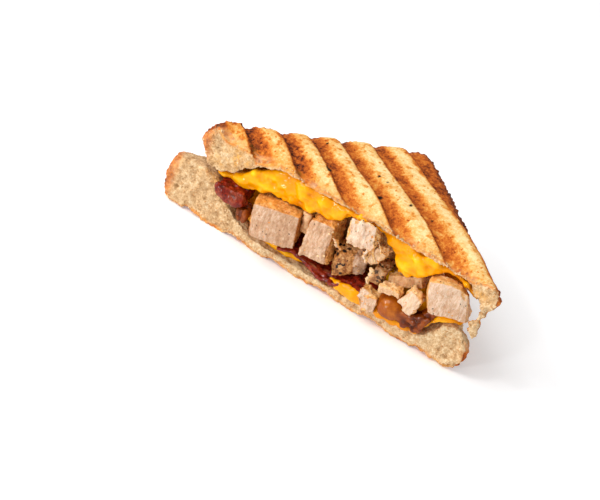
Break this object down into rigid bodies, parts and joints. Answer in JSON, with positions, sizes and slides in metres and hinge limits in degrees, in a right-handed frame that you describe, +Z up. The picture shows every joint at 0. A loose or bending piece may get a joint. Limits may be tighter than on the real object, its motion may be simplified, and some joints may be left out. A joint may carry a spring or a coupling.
{
  "type": "chicken bacon melt sandwich half",
  "caption": "Half of a grilled sandwich cut corner to corner: ridged toasted bread with melted cheese, diced chicken and bacon showing at the cut.",
  "frame": {"origin": "on the flat underside of the bottom slice, below the middle of the filling", "axes": "+X along the diagonal cut, +Y from the cut towards the crust corner, +Z up"},
  "size_m": [0.1657, 0.0829, 0.0533],
  "materials": {
    "bread": "toasted crumb, matte, with dark grill stripes",
    "cheese": "melted, soft sheen",
    "chicken": "cooked meat, slightly moist",
    "coated_chicken": "browned and peppered",
    "bacon": "cooked, greasy sheen",
    "sauce": "wet and glossy"
  },
  "bodies": {
    "root": {"bread_bottom": "bread", "bread_top": "bread", "cheese_bottom": "cheese", "cheese_top": "cheese", "bacon_front": "bacon", "bacon_left": "bacon", "bacon_side": "bacon", "chicken_filling": "chicken", "chicken_cube_left": "chicken", "chicken_between": "chicken", "chicken_leaning": "chicken", "chicken_high": "chicken", "chicken_shred_high": "chicken", "chicken_seasoned": "coated_chicken", "chicken_dark": "coated_chicken", "chicken_flat": "chicken", "chicken_wedge": "chicken", "chicken_shred_low": "chicken", "chicken_cube_right": "chicken", "chicken_pink": "chicken", "sauce_drip": "sauce", "sauce_lump_left": "sauce", "sauce_lump_middle": "sauce", "sauce_lump_right": "sauce"}
  },
  "joints": []
}
